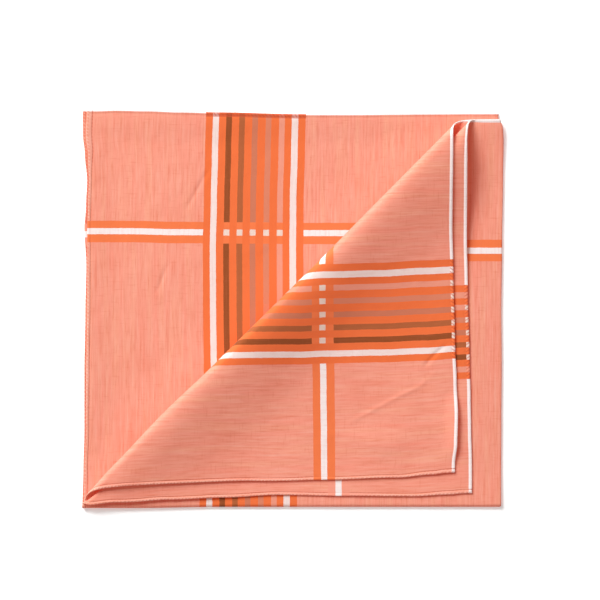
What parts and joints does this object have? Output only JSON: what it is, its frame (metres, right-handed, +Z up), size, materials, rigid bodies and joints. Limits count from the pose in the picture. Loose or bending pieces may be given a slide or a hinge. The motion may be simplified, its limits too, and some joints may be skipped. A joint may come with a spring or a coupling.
{
  "type": "folded cotton handkerchief",
  "caption": "Square cotton handkerchief with woven stripes, folded into a smaller square with its upper corner turned back, for wiping or drying.",
  "frame": {"origin": "on the plane the cloth lies on, under the middle of the folded outline", "axes": "+X to the right, towards the fold along the cloth's right side; +Y away from the bottom fold; +Z up"},
  "size_m": [0.2174, 0.2058, 0.0132],
  "materials": {
    "cotton": "matt plain weave, salmon with orange, white and brown stripes"
  },
  "bodies": {
    "root": {"handkerchief_cloth": "cotton"}
  },
  "joints": []
}
